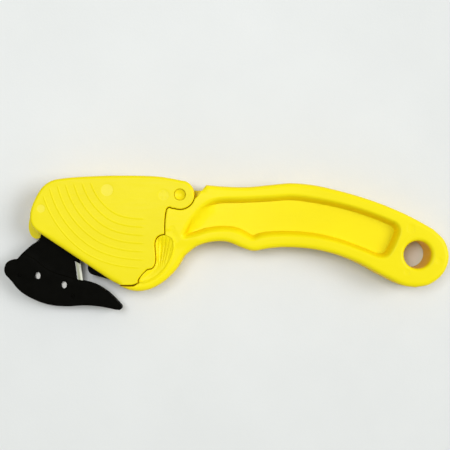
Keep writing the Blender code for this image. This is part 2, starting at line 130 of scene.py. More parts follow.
# Grip, whose recess deepens along a span of X and runs out to nothing along a slanting direction
RECESS_DEPTH = 4.2
RECESS_WALL = (3.0, 2.6)
RECESS_WALL_OUT = 0.95
RECESS_CORNER = 0.65
RECESS_DEEPER = 0.14
RECESS_WALL_SPAN = (15.0, 62.0)
RECESS_RUN_OUT = (-19.8, -14.4)
RECESS_RUN_OUT_TURN = (0.75, -0.66)
HANGING_HOLE = (85.8, -5.0)
HANGING_HOLE_RADIUS = 6.1
HANGING_HOLE_EDGE = 1.8

# Thumb scallop: its dish, the fan of cuts in it, and the trough and the lower strip outside its rim
SCALLOP_LIP = 0.5
SCALLOP_LIP_SLOPE = 0.6
SCALLOP_DEPTH = 2.3
SCALLOP_SLOPE = 8.0
SCALLOP_TROUGH = 0.22
SCALLOP_TROUGH_REACH = (1.3, 4.2)
SCALLOP_TROUGH_CORNER = (-30.0, 6.0)
FAN_FOCUS = (-29.9, -22.5)
FAN_FIRST = 0.003
FAN_SPACING = 0.067
FAN_CUTS = 5
FAN_REACH = (12.0, 26.5)
FAN_FADE_IN = 3.0
FAN_RIM_FADE = (0.48, 1.68)
FAN_INSET = 0.25
FAN_HALF_WIDTH = 0.33
FAN_DEPTH = 0.3
STRIP_DROP = 0.5
STRIP_EDGE = 0.6
STRIP_FADE = (3.0, -3.0)
STRIP_CORNER = (-12.0, 4.0)
THUMB_CORNERS = ((-41, -19), (-17, -19), (-17, 6), (-41, 6))

# Raised ribs on the cover, concentric about a point above its top edge
RIB_CENTRE = (-36.0, 34.7)
RIB_RADII = [24.9 + 3.63 * ring for ring in range(7)]
RIB_WIDTH = 0.85
RIB_HEIGHT = 0.13
RIB_RIGHT_END = -36.3
RIB_BEND = 1.2
RIB_BEND_TURN = (234.0, 268.0)
RIB_INSET = 3.1
RIB_FADE = 0.7
RIB_ROW_INSET = 2.3

# Round ejector marks, as (x, y, radius)
MARK_DEPTH = 0.07
MARK_EDGE = 0.22
MARK_PALENESS = (0.04, 0.015)

COVER_MARKS = ((-52.4, 23.8, 2.7), (-81.7, 15.6, 1.8), (-27.3, 21.6, 2.4))
MARK_DOTS = tuple((COVER_MARKS[2][0] + x, COVER_MARKS[2][1] + y, 0.35)
                  for x in (-0.9, 0.9) for y in (-1.2, 1.2))
HANDLE_MARKS = ((-23.5, 6.5, 1.3), (82.6, 6.5, 1.8), (95.0, -7.7, 1.3), (80.9, -12.7, 1.3))

# Painted shade on walls: a deeper, more orange yellow stands in for the shade that light bounced between
# yellow faces gives them; full, and none, where the surface's normal points up by these shares
WALL_PAINTED_SHADE = (0.86, 0.55, 0.001)
WALL_SHADE_STEEPNESS = (0.1, 0.7)

# Blade cartridge
NECK_DROP = 0.45
NECK_SLOPE = 0.7
NECK_INSET = 0.2
BLADE_THICKNESS = 0.6
BLADE_WIDTH = 21.4
BLADE_BEVEL = 0.9
BLADE_SHADE = 2.0
BLADE_HONED = 0.25
BLADE_SHOULDER = 0.11
BLADE_SPINE = (2.5, 13.5)
BLADE_EDGE_HALF = 0.03
BLADE_FOOT = (-64.3, -20.4)
BLADE_HEAD = (-67.2, 0.4)
BLADE_PIN_RADIUS = 0.7
BLADE_PIN_PLACES = ((6.0, 12.5), (13.5, 12.5))
BLADE_PIN_REACH = 1.6
POCKET_SLACK = 0.4
POCKET_OPEN_SIDE = -3.0
RIVET_RADIUS = 0.7
RIVETS = ((-92.9, -14.6), (-68.8, -23.9), (-78.5, 4.6), (-50.0, -8.4))
TRAY_SLOT_END = (-65.3, -1.9)
TRAY_SLOT_RADIUS = 3.8
SLOT_END = (-64.5, -1.9)
SLOT_RADIUS = 2.4
CUT_WINDOW_HALVES = (1.35, 1.7)
CUT_WINDOWS = ((-84.9, -14.7), (-73.0, -18.9))
DOWEL_RADIUS = 1.5
DOWELS = ((-79.6, 15.0), (-53.3, 23.0))
DOWEL_SEAT = 1.2

COARSE = 1.0
STEP = 0.7 * COARSE
GRID = 2.0 * COARSE
FILLET_TURNS = ((12, 24, 36, 48, 60, 70, 80, 90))
THUMB_GRID = 0.4 * COARSE
FAN_STEP = 0.3 * COARSE
RIB_STEP = 0.6 * COARSE
RIB_TURNS = (150, 271)
SAME_PLACE = 0.05

# Rows of points beside a line of relief, as distances or as shares of its width
RECESS_ROWS = np.arange(-2.7, 1.6, 0.25 * COARSE)
SCALLOP_ROWS = (-0.7, -0.45, -0.2, 0, 0.2, 0.45, 0.7)
NECK_ROWS = (-0.35, -0.2, 0, 0.2, 0.35)
FAN_ROWS = (-1, -0.5, 0, 0.5, 1)
RIB_ROWS = (-1.1, -0.62, -0.5, -0.25, 0, 0.25, 0.5, 0.62, 1.1)
MARK_ROWS = (-1.6, -0.5, 0, 0.5, 1.6)


# ---------- flat outlines

def blend(a, b, start, end, t):
    """Point on the line from a (at time start) to b (at time end)."""
    return a + (b - a) * (t - start) / (end - start)


def curve(points):
    """Smooth centripetal curve through the points, from the first to the last."""
    knots = np.array(points, float)
    knots = np.vstack([2 * knots[0] - knots[1], knots, 2 * knots[-1] - knots[-2]])
    run = [knots[1]]
    for a, b, c, d in zip(knots, knots[1:], knots[2:], knots[3:]):
        spans = [math.sqrt(np.linalg.norm(q - p)) for p, q in ((a, b), (b, c), (c, d))]
        times = np.cumsum([0.0] + spans)
        count = max(1, round(np.linalg.norm(c - b) / STEP))
        for t in np.linspace(times[1], times[2], count + 1)[1:]:
            low = [blend(a, b, times[0], times[1], t), blend(b, c, times[1], times[2], t),
                   blend(c, d, times[2], times[3], t)]
            mid = [blend(low[0], low[1], times[0], times[2], t), blend(low[1], low[2], times[1], times[3], t)]
            run.append(blend(mid[0], mid[1], times[1], times[2], t))
    return np.array(run)


def straight(points, step=STEP):
    """Straight runs through the points, divided into steps."""
    run = [np.array(points[0], float)]
    for a, b in zip(np.array(points[:-1], float), np.array(points[1:], float)):
        count = max(1, round(np.linalg.norm(b - a) / step))
        run += [a + (b - a) * share for share in np.linspace(0, 1, count + 1)[1:]]
    return np.array(run)


def arc(centre, radius, start, end, step=STEP):
    """Arc about a centre, between two angles in degrees."""
    count = max(3, math.ceil(abs(math.radians(end - start)) * radius / step))
    angles = np.radians(np.linspace(start, end, count + 1))
    return np.column_stack([centre[0] + radius * np.cos(angles), centre[1] + radius * np.sin(angles)])


def oval(centre, halves, step=STEP / 2):
    """Closed outline about a centre, with a half width along X and another along Y."""
    return (arc((0, 0), max(halves), 0, 360, step)[:-1] / max(halves)) * halves + centre


def circle(centre, radius, step=STEP / 2):
    """Closed round outline about a centre."""
    return oval(centre, (radius, radius), step)


def path(*runs):
    """Runs joined end to end into one line, without doubled points."""
    points = np.vstack([np.array(run, float) for run in runs])
    keep = [0]
    for index in range(1, len(points)):
        if np.linalg.norm(points[index] - points[keep[-1]]) > SAME_PLACE:
            keep.append(index)
    return points[keep]


def loop(*runs):
    """Closed outline that turns counterclockwise."""
    points = path(*runs)
    if np.linalg.norm(points[0] - points[-1]) < SAME_PLACE:
        points = points[:-1]
    x, y = points.T
    area = np.sum(x * np.roll(y, -1) - np.roll(x, -1) * y)
    return points if area > 0 else points[::-1]


def side_shift(points, distance, closed=True):
    """Line moved to its left by a distance, along the mean normal at each point."""
    ahead = np.roll(points, -1, axis=0) - points
    if not closed:
        ahead[-1] = ahead[-2]
    ahead /= np.linalg.norm(ahead, axis=1)[:, None]
    behind = np.roll(ahead, 1, axis=0)
    if not closed:
        behind[0] = ahead[0]
    normals = np.column_stack([-(ahead + behind)[:, 1], (ahead + behind)[:, 0]])
    normals /= np.linalg.norm(normals, axis=1)[:, None]
    facing = np.sum(normals * np.column_stack([-ahead[:, 1], ahead[:, 0]]), axis=1)
    return points + normals * (distance / np.maximum(facing, 0.5))[:, None]


def in_batches(measure, points, size=1500):
    """A measure of many points, taken a batch at a time to save memory."""
    return np.concatenate([measure(points[i:i + size]) for i in range(0, len(points), size)])


def distance_to(points, line, closed=True):
    """Distance from each point to a line."""
    start = line if closed else line[:-1]
    along = (np.roll(line, -1, axis=0) - line)[:len(start)]
    squares = np.sum(along * along, axis=1)

    def measure(batch):
        offset = batch[:, None, :] - start[None]
        share = np.clip(np.sum(offset * along, axis=2) / squares, 0, 1)
        return np.linalg.norm(offset - share[:, :, None] * along, axis=2).min(axis=1)
    return in_batches(measure, points)


def inside(points, outline):
    """True for each point that a closed outline holds."""
    x0, y0 = outline.T
    x1, y1 = np.roll(outline, -1, axis=0).T

    def measure(batch):
        px, py = batch[:, :1], batch[:, 1:]
        spans = (y0 > py) != (y1 > py)
        with np.errstate(divide="ignore", invalid="ignore"):
            crossing = px < x0 + (py - y0) * (x1 - x0) / (y1 - y0)
        return np.sum(spans & crossing, axis=1) % 2 == 1
    return in_batches(measure, points)


def distance_inside(points, outline):
    """Distance from each point to a closed outline, negative outside it."""
    return np.where(inside(points, outline), 1, -1) * distance_to(points, outline)


def smoothstep(value):
    """Soft step from 0 to 1."""
    value = np.clip(value, 0, 1)
    return value * value * (3 - 2 * value)


def fade(value, start, end):
    """Soft step from 0 at a start value to 1 at an end value."""
    return smoothstep((value - start) / (end - start))


def edge_drop(points, *edges):
    """Height lost to rounded edges, from (line of the wall, radius, whether the line is closed) for each."""
    drops = []
    for line, radius, closed in edges:
        reach = np.clip(radius - distance_to(points, line, closed), 0, radius)
        drops.append(radius - np.sqrt(radius * radius - reach * reach))
    return np.max(drops, axis=0)


# ---------- outlines of this tool

def cover_seam():
    """Line between cover and handle, from the hinge boss down to the end of the heel lip."""
    return path(
        arc(PIVOT, BOSS_RADIUS, 0, -112),
        curve([(-23.6, 15.8), (-24.8, 16.3), (-25.9, 15.7), (-26.4, 14.2), (-26.8, 11.5), (-27.0, 8.0),
               (-27.0, 4.2)]),
        curve([(-27.0, 4.2), (-28.8, 3.8), (-30.4, 2.7), (-31.3, 0.6), (-31.3, -2.6), (-31.0, -6.2),
               (-31.4, -9.3), (-32.6, -11.0), (-34.6, -11.5), (-36.2, -12.9), (-38.0, -15.0),
               (-38.8, -16.3)]),
        curve([(-38.8, -17.4), (-40.8, -18.3), (-44.0, -18.5), (-47.6, -18.3)]))


def cover_rim():
    """Free outer edge of the head cover, from the end of the seam round to the boss."""
    return path(
        cover_seam()[-1:],
        straight([(-50.4, -16.9), (-80.6, 3.1)]),
        curve([(-80.6, 3.1), (-84.6, 6.1), (-86.6, 9.0), (-87.0, 12.6), (-86.0, 17.0), (-83.8, 21.6),
               (-81.4, 25.2), (-77.6, 27.9), (-72.0, 29.1), (-57.0, 30.1), (-43.0, 30.3), (-30.0, 29.9),
               (-23.8, 29.0), (-19.4, 28.1)]),
        arc(PIVOT, BOSS_RADIUS, 70, 0))


def body_outline():
    """Outer edge of the handle with its head tray."""
    grip_top = curve([(-8.3, 26.2), (-0.4, 25.5), (10.3, 25.3), (20.0, 26.2), (29.5, 27.0), (39.8, 26.1),
                      (50.6, 23.7), (61.3, 20.7), (72.0, 16.9), (82.8, 12.1), (93.0, 6.5)])
    grip_end = curve([(93.0, 6.5), (98.2, 1.0), (100.0, -6.2), (97.6, -13.2), (91.5, -18.3), (85.0, -19.7)])
    grip_foot = curve([(85.0, -19.7), (79.5, -18.9), (70.0, -14.4), (58.6, -8.4), (47.9, -4.5), (37.2, -2.4),
                       (26.4, -1.8), (19.0, -2.4), (12.5, -3.4), (7.4, -1.9), (1.0, 0.6), (-6.0, 0.6),
                       (-12.8, -1.5), (-18.0, -5.6)])
    heel = curve([(-18.0, -5.6), (-22.2, -12.2), (-28.4, -17.9), (-34.6, -20.9), (-41.0, -21.3),
                  (-47.8, -18.9)])
    tray_foot = path(straight([(-48.6, -15.9), (-61.7, -7.3)]), arc(TRAY_SLOT_END, TRAY_SLOT_RADIUS, 0, 180),
                     straight([(-69.1, -2.4), (-79.6, 4.6)]))
    tab = curve([(-79.6, 4.6), (-83.0, 3.9), (-85.0, 2.3), (-86.8, 1.8), (-88.7, 2.8), (-90.0, 5.2),
                 (-90.3, 8.4), (-89.2, 13.2), (-86.2, 18.0)])
    tray_top = curve([(-86.2, 18.0), (-84.0, 21.8), (-81.2, 25.2), (-77.4, 27.6), (-72.0, 28.7),
                      (-57.0, 29.7), (-43.0, 29.9), (-30.0, 29.5), (-23.8, 28.6), (-19.4, 27.6),
                      (-16.4, 25.9), (-14.6, 24.0)])
    return loop(grip_top, grip_end, grip_foot, heel, tray_foot, tab, tray_top, [(-10.5, 24.0)])


def recess_outline():
    """Middle of the sloping wall around the long recess in each face of the grip."""
    return loop(curve([(-17.6, 4.0), (-13.6, 13.4), (-9.4, 16.6), (-3.0, 18.3), (8.0, 18.7), (20.0, 19.3),
                       (29.5, 19.9), (38.0, 19.0), (51.3, 16.4), (62.0, 13.3), (72.0, 9.5), (75.6, 7.7),
                       (76.4, 5.8), (75.2, 2.0), (73.0, -2.5), (71.4, -4.5), (69.2, -4.8), (62.0, -2.1),
                       (51.3, 1.7), (40.0, 4.2), (29.0, 5.1), (20.1, 4.9), (15.6, 4.2), (12.6, 3.2),
                       (10.0, 4.5), (5.6, 6.6), (-0.5, 7.4), (-8.0, 6.6), (-14.2, 4.7), (-17.6, 4.0)]))


def scallop_outline():
    """Edge of the thumb scallop: a crescent on the handle, run out past the seam on its left."""
    return loop(curve([(-36.4, -17.2), (-32.4, -15.9), (-28.4, -13.0), (-25.4, -9.0), (-23.4, -4.6),
                       (-22.8, -0.4), (-23.6, 2.4), (-26.4, 3.9), (-31.0, 4.4), (-33.4, 0.0), (-33.6, -9.0),
                       (-37.0, -13.8), (-39.0, -16.4), (-36.4, -17.2)]))


def cartridge_outline():
    """Outer edge of the blade cartridge: head plate, lobe, beak and the throat between them."""
    head = curve([(-82.9, 12.5), (-83.4, 7.0), (-84.0, 2.2), (-88.0, -1.0), (-91.6, -4.2), (-94.1, -7.1)])
    lobe = curve([(-94.1, -7.1), (-96.8, -7.5), (-99.0, -8.9), (-100.0, -11.4), (-99.6, -14.0),
                  (-98.0, -15.8), (-96.9, -17.0)])
    belly = curve([(-96.9, -17.0), (-93.2, -21.4), (-88.0, -24.8), (-80.0, -27.8), (-72.0, -28.6),
                   (-63.0, -28.2), (-56.0, -28.8), (-48.8, -30.3)])
    tip = arc((-48.1, -29.0), 1.3, 245, 395, 0.3)
    beak = curve([(-47.0, -28.2), (-50.7, -24.3), (-54.6, -21.1), (-59.0, -18.6), (-63.0, -17.3),
                  (-67.2, -16.5)])
    hood = straight([(-67.2, -16.5), (-68.4, -7.9), (-65.9, -9.3), (-66.9, SLOT_END[1])])
    slot = path(hood, arc(SLOT_END, SLOT_RADIUS, 180, 0), straight([(-62.1, SLOT_END[1]), (-62.1, -9.6)]))
    guide = curve([(-62.1, -9.6), (-62.1, -12.2), (-61.2, -13.7), (-59.0, -14.6), (-54.0, -16.0),
                   (-48.4, -18.0)])
    heel = curve([(-48.4, -18.0), (-46.0, -17.4), (-44.6, -15.4), (-44.2, -11.0)])
    back = straight([(-44.2, -11.0), (-44.2, 21.0)])
    top = curve([(-44.2, 21.0), (-45.2, 24.4), (-48.6, 25.8), (-60.0, 26.2), (-71.0, 25.8), (-76.4, 24.0),
                 (-80.4, 19.0), (-82.9, 12.5)])
    return loop(head, lobe, belly, tip, beak, slot, guide, heel, back, top)


def beak_plate_edge():
    """Edge where the raised plate of the beak steps down to the cartridge's neck, and round the neck."""
    ridge = curve([(-97.0, -1.6), (-93.0, -3.6), (-90.0, -5.3), (-86.4, -7.1), (-83.7, -9.4), (-81.4, -11.2),
                   (-76.9, -13.5), (-72.4, -14.8), (-67.8, -16.2), (-64.0, -17.0)])
    return loop(ridge, [(-40.0, -17.0), (-40.0, 32.0), (-100.0, 32.0), (-100.0, -1.6)])


# ---------- solids

def placed(name, data):
    """New object in the scene."""
    made = bpy.data.objects.new(name, data)
    bpy.context.scene.collection.objects.link(made)
    return made


def finish_mesh(name, verts, faces, look, sharp=32):
    """Object from millimetre coordinates, kept in the CAD box, smooth but for its sharp edges."""
    low, high = CAD_BOX
    places = np.clip(np.array(verts) * MM, low, high)
    mesh = bpy.data.meshes.new(name)
    mesh.from_pydata(places.tolist(), [], faces)
    work = bmesh.new()
    work.from_mesh(mesh)
    bmesh.ops.dissolve_degenerate(work, edges=work.edges, dist=1e-7)
    bmesh.ops.recalc_face_normals(work, faces=work.faces)
    work.to_mesh(mesh)
    work.free()
    mesh.materials.append(look)
    mesh.shade_smooth()
    mesh.set_sharp_from_angle(angle=math.radians(sharp))
    return placed(name, mesh)


def grid_points(outline, spacing, clear_of):
    """Staggered points inside an outline, none closer to the given points than about a spacing."""
    low, high = outline.min(axis=0), outline.max(axis=0)
    rows = np.arange(low[1], high[1], spacing * 0.87)
    points = np.array([(x + spacing / 2 * (i % 2), y) for i, y in enumerate(rows)
                       for x in np.arange(low[0], high[0], spacing)])
    points = points[inside(points, outline)]

    def nearest(batch):
        return np.linalg.norm(batch[:, None] - clear_of[None], axis=2).min(axis=1)
    return points[in_batches(nearest, points, 500) > 0.6 * spacing]


def fillet_rings(outline, radius, others=(), closed=True, side=1):
    """Points along the lines that a rounded edge needs, where no other edge is nearer."""
    rings = []
    for turn in FILLET_TURNS:
        inset = radius * (1 - math.cos(math.radians(turn)))
        ring = side_shift(outline, side * inset, closed)
        clear = distance_to(ring, outline, closed) > inset - 0.01 - 0.01 * radius
        for other in others:
            clear &= distance_to(ring, other) > min(inset, 0.3)
        rings.append(ring[clear])
    return rings


def terrace(name, rims, borders, spots, tops, feet, look, parting=None, sharp=32):
    """Closed solid over a flat triangulation, with steps in its two faces.

    rims is the outer outline and then the holes. borders are the closed lines where a face steps.
    tops and feet are (outline, height function) pairs, and a later one rules inside its outline.
    parting is the height of a mould line round the outer wall.
    """
    lines = [*rims, *borders]
    edges, first = [], 0
    for line in lines:
        edges += [(first + i, first + (i + 1) % len(line)) for i in range(len(line))]
        first += len(line)
    points = np.vstack([*lines, *[run for run in spots if len(run)]])
    flat = delaunay_2d_cdt([Vector(p) for p in points], edges, [], 1, 1e-3)
    places = np.array([tuple(v) for v in flat[0]])
    triangles = np.array(flat[2])
    centres = places[triangles].mean(axis=1)
    keep = inside(centres, rims[0])
    for hole in rims[1:]:
        keep &= ~inside(centres, hole)
    triangles, centres = triangles[keep], centres[keep]

    heights, regions = [], []
    for levels in (feet, tops):
        region = np.zeros(len(centres), int)
        for index, (outline, _) in enumerate(levels[1:], 1):
            region[inside(centres, outline)] = index
        regions.append(region)
        heights.append([np.round(height(places), 4) for _, height in levels])

    verts, number, columns = [], {}, [[] for _ in places]

    def vertex(place, height):
        key = (place, height)
        if key not in number:
            number[key] = len(verts)
            verts.append((*places[place], height))
            columns[place].append(height)
        return number[key]

    def corner(side, triangle, place):
        return float(heights[side][regions[side][triangle]][place])

    faces, owner = [], {}
    for index, corners in enumerate(triangles.tolist()):
        faces.append([vertex(p, corner(1, index, p)) for p in corners])
        faces.append([vertex(p, corner(0, index, p)) for p in corners[::-1]])
        for a, b in zip(corners, corners[1:] + corners[:1]):
            owner[a, b] = index

    open_edges = [(edge, index) for edge, index in owner.items() if edge[::-1] not in owner]
    ridge = {}
    if parting is not None:
        on_rim = distance_to(places, rims[0]) < 0.01
        for (a, b), index in open_edges:
            if on_rim[a] and on_rim[b] and all(corner(1, index, p) > parting + 0.5 for p in (a, b)):
                run = places[b] - places[a]
                outward = np.array([run[1], -run[0]]) / np.linalg.norm(run)
                for place in (a, b):
                    for height in (-PARTING_HALF_WIDTH, 0, PARTING_HALF_WIDTH):
                        vertex(place, round(parting + height, 4))
                    ridge[place] = ridge.get(place, 0) + outward

    def wall(a, b, low, high):
        side_a = [z for z in sorted(columns[a]) if low[0] <= z <= high[0]]
        side_b = [z for z in sorted(columns[b]) if low[1] <= z <= high[1]]
        left, right = [number[a, z] for z in side_a], [number[b, z] for z in side_b]
        if len(left) == len(right):
            strips = [[left[i], right[i], right[i + 1], left[i + 1]] for i in range(len(left) - 1)]
        else:
            strips = [left[:1] + right + left[:0:-1]]
        faces.extend(strip for strip in strips if len(set(strip)) > 2)

    for (a, b), index in owner.items():
        foot, top = [[corner(side, index, p) for p in (a, b)] for side in (0, 1)]
        other = owner.get((b, a))
        if other is None:
            wall(a, b, foot, top)
            continue
        far_foot, far_top = [[corner(side, other, p) for p in (a, b)] for side in (0, 1)]
        if regions[1][index] != regions[1][other] and sum(top) > sum(far_top):
            wall(a, b, far_top, top)
        if regions[0][index] != regions[0][other] and sum(foot) < sum(far_foot):
            wall(a, b, foot, far_foot)

    for place, outward in ridge.items():
        x, y, z = verts[number[place, round(parting, 4)]]
        dx, dy = PARTING_RIDGE * outward / np.linalg.norm(outward)
        verts[number[place, round(parting, 4)]] = (x + dx, y + dy, z)
    faces = [list(dict.fromkeys(face)) for face in faces]
    return finish_mesh(name, verts, [face for face in faces if len(face) > 2], look, sharp)


def turned(name, centre, profile, look, sides=96):
    """Solid turned about the vertical line through a centre, from (radius, height) pairs.

    A pair with radius 0 is one point on the axis. A profile without one closes on itself.
    """
    angles = np.arange(sides) * 2 * math.pi / sides
    verts, rings = [], []
    for radius, height in profile:
        ring = [(centre[0] + radius * math.cos(t), centre[1] + radius * math.sin(t))
                for t in (angles if radius else angles[:1])]
        rings.append(range(len(verts), len(verts) + len(ring)))
        verts += [(x, y, height) for x, y in ring]
    pairs = list(zip(rings, rings[1:]))
    if profile[0][0] and profile[-1][0]:
        pairs.append((rings[-1], rings[0]))
    faces = []
    for low, high in pairs:
        for i in range(sides):
            j = (i + 1) % sides
            corners = [low[i % len(low)], low[j % len(low)], high[j % len(high)], high[i % len(high)]]
            faces.append(list(dict.fromkeys(corners)))
    return finish_mesh(name, verts, faces, look)


def rounded(radius, height, edge, up=1):
    """Profile points of a rounded rim, from its wall to its face; the face looks up, or down if up is -1."""
    return [(radius - edge * (1 - math.cos(t)), height - up * edge * (1 - math.sin(t)))
            for t in np.linspace(0, math.pi / 2, 6)]


def flat_at(height):
    """Height function of a level face."""
    return lambda points: np.full(len(points), float(height))


# ---------- relief of this tool

def mark_depth(points, marks):
    """Depth of the round ejector marks."""
    depth = np.zeros(len(points))
    for x, y, radius in marks:
        away = np.hypot(points[:, 0] - x, points[:, 1] - y)
        depth += MARK_DEPTH * smoothstep((radius - away) / MARK_EDGE + 0.5)
    return depth


def mark_rings(marks):
    """Points along the edges of the round marks."""
    return [circle((x, y), radius + share * MARK_EDGE, STEP / 1.6) for x, y, radius in marks
            for share in MARK_ROWS]


def recess_depth(points):
    """Depth of the grip recess: full on its floor, running out to nothing towards the head."""
    share = fade(points[:, 0], *RECESS_WALL_SPAN)
    wall = RECESS_WALL[0] + (RECESS_WALL[1] - RECESS_WALL[0]) * share
    down = np.clip((distance_inside(points, recess_outline()) + RECESS_WALL_OUT) / wall + 0.5, 0, 1)
    profile = (1 - RECESS_CORNER) * smoothstep(down) + RECESS_CORNER * down ** 3
    ramp = fade(points @ RECESS_RUN_OUT_TURN, *RECESS_RUN_OUT)
    return RECESS_DEPTH * (1 + RECESS_DEEPER * share) * profile * ramp


def scallop_depth(points):
    """Depth of the thumb scallop with its fan of cuts, and of the strip and the trough outside its rim."""
    outline = scallop_outline()
    held = inside(points, outline)
    away = distance_to(points, outline)
    reach = np.where(held, away, 0)
    x, y = points.T
    dish = SCALLOP_LIP * smoothstep(reach / SCALLOP_LIP_SLOPE)
    dish += SCALLOP_DEPTH * smoothstep(reach / SCALLOP_SLOPE)
    angle = np.arctan2(x - FAN_FOCUS[0], np.maximum(y - FAN_FOCUS[1], 0.1))
    cut = np.clip(np.round((angle - FAN_FIRST) / FAN_SPACING), 0, FAN_CUTS - 1)
    beside = np.abs(angle - FAN_FIRST - cut * FAN_SPACING) * np.hypot(x - FAN_FOCUS[0], y - FAN_FOCUS[1])
    shown = fade(reach, *FAN_RIM_FADE) * smoothstep((y - FAN_FOCUS[1] - FAN_REACH[0]) / FAN_FADE_IN)
    cuts = FAN_DEPTH * np.clip(1 - beside / FAN_HALF_WIDTH, 0, 1) * shown
    beyond = np.where(held, 0, away)
    strip = STRIP_DROP * smoothstep(beyond / STRIP_EDGE) * fade(y, *STRIP_FADE)
    strip *= (x < STRIP_CORNER[0]) & (y < STRIP_CORNER[1])
    trough = smoothstep(beyond / SCALLOP_TROUGH_REACH[0]) * (1 - fade(beyond, *SCALLOP_TROUGH_REACH))
    trough *= SCALLOP_TROUGH * ((x > SCALLOP_TROUGH_CORNER[0]) & (y < SCALLOP_TROUGH_CORNER[1]))
    return dish + cuts + np.maximum(strip, trough)


def fan_lines():
    """Points along both edges and the bottom of each cut in the scallop's fan."""
    outline = scallop_outline()
    reaches = np.arange(*FAN_REACH, FAN_STEP)
    lines = []
    for cut in range(FAN_CUTS):
        angle = FAN_FIRST + cut * FAN_SPACING
        along = np.array([math.sin(angle), math.cos(angle)])
        for side in FAN_ROWS:
            offset = side * FAN_HALF_WIDTH * np.array([along[1], -along[0]])
            run = FAN_FOCUS + offset + reaches[:, None] * along
            lines.append(run[distance_inside(run, outline) > FAN_INSET])
    return lines


def rib_bend(turn):
    """How far a rib lies inside its circle, at an angle in degrees about the ribs' centre."""
    return RIB_BEND * fade(turn, *RIB_BEND_TURN)


def rib_rows(outline):
    """Points along each rib of the cover, in rows beside it."""
    rows = []
    for radius in RIB_RADII:
        turns = np.arange(*RIB_TURNS, math.degrees(RIB_STEP / radius))
        ways = np.column_stack([np.cos(np.radians(turns)), np.sin(np.radians(turns))])
        for share in RIB_ROWS:
            row = RIB_CENTRE + (radius + share * RIB_WIDTH - rib_bend(turns))[:, None] * ways
            rows.append(row[distance_inside(row, outline) > RIB_ROW_INSET])
    return rows


def rib_height(points, rim, seam):
    """Height of the concentric ribs on the cover."""
    x, y = points.T
    turn = np.degrees(np.arctan2(y - RIB_CENTRE[1], x - RIB_CENTRE[0])) % 360
    away = np.hypot(x - RIB_CENTRE[0], y - RIB_CENTRE[1]) + rib_bend(turn)
    inset = np.minimum(distance_to(points, rim, False), distance_to(points, seam, False))
    shown = smoothstep((RIB_RIGHT_END - x) / RIB_FADE + 0.5)
    shown *= smoothstep((inset - RIB_INSET) / RIB_FADE + 0.5)
    height = np.zeros(len(points))
    for radius in RIB_RADII:
        height += RIB_HEIGHT * np.clip(1 - np.abs(away - radius) / (RIB_WIDTH / 2), 0, 1)
    return height * shown


# ---------- pieces

def handle_moulding(look):
    """Grip, head tray and hinge lug in one moulding."""
    rim = side_shift(body_outline(), PARTING_RIDGE)
    hole = circle(HANGING_HOLE, HANGING_HOLE_RADIUS)[::-1]
    bore = circle(PIVOT, PIN_RADIUS + PIN_CLEARANCE)[::-1]
    cap_seat = circle(PIVOT, CAP_RADIUS + GAP)
    dowel_seats = [circle(place, DOWEL_RADIUS + GAP) for place in DOWELS]
    seam = side_shift(cover_seam(), SEAM, False)
    seam[:, 1] -= HEEL_GAP * fade(seam[:, 0], *HEEL_GAP_SPAN)
    seam[:, 0] -= SEAM_CLOSER * fade(seam[:, 1], *SEAM_CLOSER_TOP) * fade(seam[:, 1], *SEAM_CLOSER_FOOT)
    foot = [(-110, seam[-1][1])]
    shoulder = straight([(-3.9, 31.6), (-13.2, 20.1)], STEP / 2)
    above_lug = loop(seam, foot, [(-110, 50), (-3.9, 50)], shoulder)
    lug_side = arc(PIVOT, LUG_RADIUS, 228, 85)
    start = np.argmin(np.linalg.norm(seam - lug_side[0], axis=1)) + 1
    tray = loop(seam[start:], foot, [(-110, 50), (-19.4, 50)], lug_side[::-1])
    step_line = path(shoulder, seam)

    edges = [(rim, GRIP_EDGE, True), (hole, HANGING_HOLE_EDGE, True)]

    def grip_top(points):
        sunk = recess_depth(points) + scallop_depth(points) + mark_depth(points, HANDLE_MARKS)
        return THICKNESS - edge_drop(points, *edges, (step_line, SEAM_EDGE, False)) - sunk

    def back(points):
        return edge_drop(points, *edges) + recess_depth(points)

    recess = recess_outline()
    walls = []
    for shift in RECESS_ROWS:
        ring = side_shift(recess, shift)
        walls.append(ring[distance_to(ring, recess) > abs(shift) - 0.03])
    spots = [*fillet_rings(rim, GRIP_EDGE, [hole]), *fillet_rings(hole, HANGING_HOLE_EDGE, [rim]),
             *fillet_rings(step_line, SEAM_EDGE, [rim], False), *walls, *mark_rings(HANDLE_MARKS),
             *fan_lines(), *[side_shift(scallop_outline(), shift) for shift in SCALLOP_ROWS]]
    fixed = np.vstack([rim, hole, bore, cap_seat, above_lug, tray, *dowel_seats, *spots])
    thumb = loop(THUMB_CORNERS)
    thumb_grid = grid_points(thumb, THUMB_GRID, fixed[inside(fixed, thumb)])
    thumb_grid = thumb_grid[inside(thumb_grid, rim) & ~inside(thumb_grid, above_lug)]
    fixed = np.vstack([fixed, thumb_grid])
    spots += [thumb_grid, grid_points(rim, GRID, fixed)]
    return terrace("handle_moulding", [rim, hole, bore], [above_lug, tray, cap_seat, *dowel_seats], spots,
                   [(None, grip_top), (above_lug, flat_at(LUG_TOP)), (tray, flat_at(TRAY_TOP)),
                    *[(seat, flat_at(DOWEL_SEAT)) for seat in dowel_seats]],
                   [(None, back), (cap_seat, flat_at(CAP_SEAT_DEPTH))], look, parting=THICKNESS / 2)


